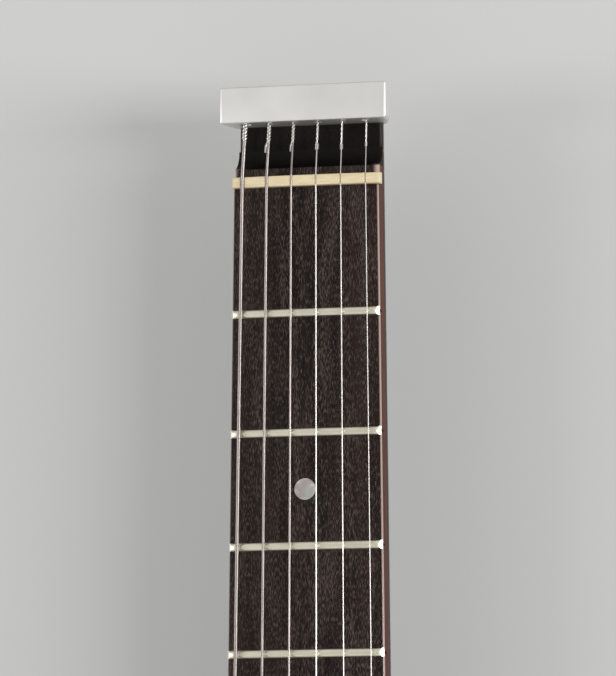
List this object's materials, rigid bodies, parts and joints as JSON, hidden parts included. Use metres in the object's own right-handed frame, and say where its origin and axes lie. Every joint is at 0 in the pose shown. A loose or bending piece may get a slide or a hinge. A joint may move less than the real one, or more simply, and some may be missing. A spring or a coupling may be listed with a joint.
{
  "type": "travel guitar",
  "caption": "Slim headless travel guitar with a metal string anchor block at the head, a fretted neck-through body, bridge, pickup and worm tuning machines set in the body.",
  "frame": {"origin": "middle of the bounding box, on the flat back the guitar lies on", "axes": "+Z out of the strings, +Y along the neck to the head block, +X to the treble side"},
  "size_m": [0.2, 0.8206, 0.0575],
  "materials": {
    "red_brown_wood": "dark reddish brown wood, thin gloss coat",
    "dark_board_wood": "very dark open-pored wood, oiled satin",
    "bone": "cream bone, lightly polished",
    "blasted_alloy": "bead-blasted, clear anodised",
    "black_steel": "black oxide",
    "plain_steel": "plain steel",
    "plated_steel": "nickel plated",
    "fret_wire": "polished nickel alloy",
    "string_steel": "nickel wound steel",
    "brass": "turned brass",
    "black_plastic": "satin black plastic"
  },
  "bodies": {
    "guitar": {"neck_beam": "red_brown_wood", "bass_wing": "red_brown_wood", "treble_wing": "red_brown_wood", "fingerboard": "dark_board_wood", "nut": "bone", "head_block": "blasted_alloy", "block_screw_bass": "black_steel", "block_screw_treble": "black_steel", "truss_rod": "plain_steel", "bridge_bar": "plated_steel", "bridge_stud_bass": "plated_steel", "bridge_stud_treble": "plated_steel", "pickup": "black_plastic", "volume_pot": "plain_steel", "output_jack": "plated_steel", "control_cover": "black_plastic", "strap_button_tail": "plated_steel", "strap_button_horn": "plated_steel", "tuner_plate_bass": "plated_steel", "tuner_plate_treble": "plated_steel", "fret_01": "fret_wire", "fret_02": "fret_wire", "fret_03": "fret_wire", "fret_04": "fret_wire", "fret_05": "fret_wire", "fret_06": "fret_wire", "fret_07": "fret_wire", "fret_08": "fret_wire", "fret_09": "fret_wire", "fret_10": "fret_wire", "fret_11": "fret_wire", "fret_12": "fret_wire", "fret_13": "fret_wire", "fret_14": "fret_wire", "fret_15": "fret_wire", "fret_16": "fret_wire", "fret_17": "fret_wire", "fret_18": "fret_wire", "fret_19": "fret_wire", "fret_20": "fret_wire", "string_1": "string_steel", "string_2": "string_steel", "string_3": "string_steel", "string_4": "string_steel", "string_5": "string_steel", "string_6": "string_steel"},
    "key_1": {"tuner_key_1": "plated_steel"},
    "key_2": {"tuner_key_2": "plated_steel"},
    "key_3": {"tuner_key_3": "plated_steel"},
    "key_4": {"tuner_key_4": "plated_steel"},
    "key_5": {"tuner_key_5": "plated_steel"},
    "key_6": {"tuner_key_6": "plated_steel"},
    "post_1": {"tuner_post_1": "plated_steel"},
    "post_2": {"tuner_post_2": "plated_steel"},
    "post_3": {"tuner_post_3": "plated_steel"},
    "post_4": {"tuner_post_4": "plated_steel"},
    "post_5": {"tuner_post_5": "plated_steel"},
    "post_6": {"tuner_post_6": "plated_steel"},
    "volume": {"volume_knob": "black_plastic", "volume_shaft": "brass"}
  },
  "joints": [
    {"name": "key_6_turn", "type": "hinge", "parent": "guitar", "child": "key_6", "pos_m": [-0.027, -0.3148, 0.0133], "axis": [1, 0, 0], "continuous": true},
    {"name": "post_6_turn", "type": "hinge", "parent": "guitar", "child": "post_6", "pos_m": [-0.027, -0.32145, 0.03], "axis": [0, 0, 1], "continuous": true},
    {"name": "key_5_turn", "type": "hinge", "parent": "guitar", "child": "key_5", "pos_m": [-0.027, -0.3408, 0.0133], "axis": [1, 0, 0], "continuous": true},
    {"name": "post_5_turn", "type": "hinge", "parent": "guitar", "child": "post_5", "pos_m": [-0.027, -0.34745, 0.03], "axis": [0, 0, 1], "continuous": true},
    {"name": "key_4_turn", "type": "hinge", "parent": "guitar", "child": "key_4", "pos_m": [-0.027, -0.3668, 0.0133], "axis": [1, 0, 0], "continuous": true},
    {"name": "post_4_turn", "type": "hinge", "parent": "guitar", "child": "post_4", "pos_m": [-0.027, -0.37345, 0.03], "axis": [0, 0, 1], "continuous": true},
    {"name": "key_3_turn", "type": "hinge", "parent": "guitar", "child": "key_3", "pos_m": [0.027, -0.3668, 0.0133], "axis": [1, 0, 0], "continuous": true},
    {"name": "post_3_turn", "type": "hinge", "parent": "guitar", "child": "post_3", "pos_m": [0.027, -0.37345, 0.03], "axis": [0, 0, 1], "continuous": true},
    {"name": "key_2_turn", "type": "hinge", "parent": "guitar", "child": "key_2", "pos_m": [0.027, -0.3408, 0.0133], "axis": [1, 0, 0], "continuous": true},
    {"name": "post_2_turn", "type": "hinge", "parent": "guitar", "child": "post_2", "pos_m": [0.027, -0.34745, 0.03], "axis": [0, 0, 1], "continuous": true},
    {"name": "key_1_turn", "type": "hinge", "parent": "guitar", "child": "key_1", "pos_m": [0.027, -0.3148, 0.0133], "axis": [1, 0, 0], "continuous": true},
    {"name": "post_1_turn", "type": "hinge", "parent": "guitar", "child": "post_1", "pos_m": [0.027, -0.32145, 0.03], "axis": [0, 0, 1], "continuous": true},
    {"name": "volume_turn", "type": "hinge", "parent": "guitar", "child": "volume", "pos_m": [0.063, -0.21875, 0.04], "axis": [0, 0, 1], "range_deg": [-270, 0]}
  ],
  "couplings": [
    {"joint": "post_6_turn", "follows": "key_6_turn", "ratio": 0.071429},
    {"joint": "post_5_turn", "follows": "key_5_turn", "ratio": 0.071429},
    {"joint": "post_4_turn", "follows": "key_4_turn", "ratio": 0.071429},
    {"joint": "post_3_turn", "follows": "key_3_turn", "ratio": 0.071429},
    {"joint": "post_2_turn", "follows": "key_2_turn", "ratio": 0.071429},
    {"joint": "post_1_turn", "follows": "key_1_turn", "ratio": 0.071429}
  ]
}
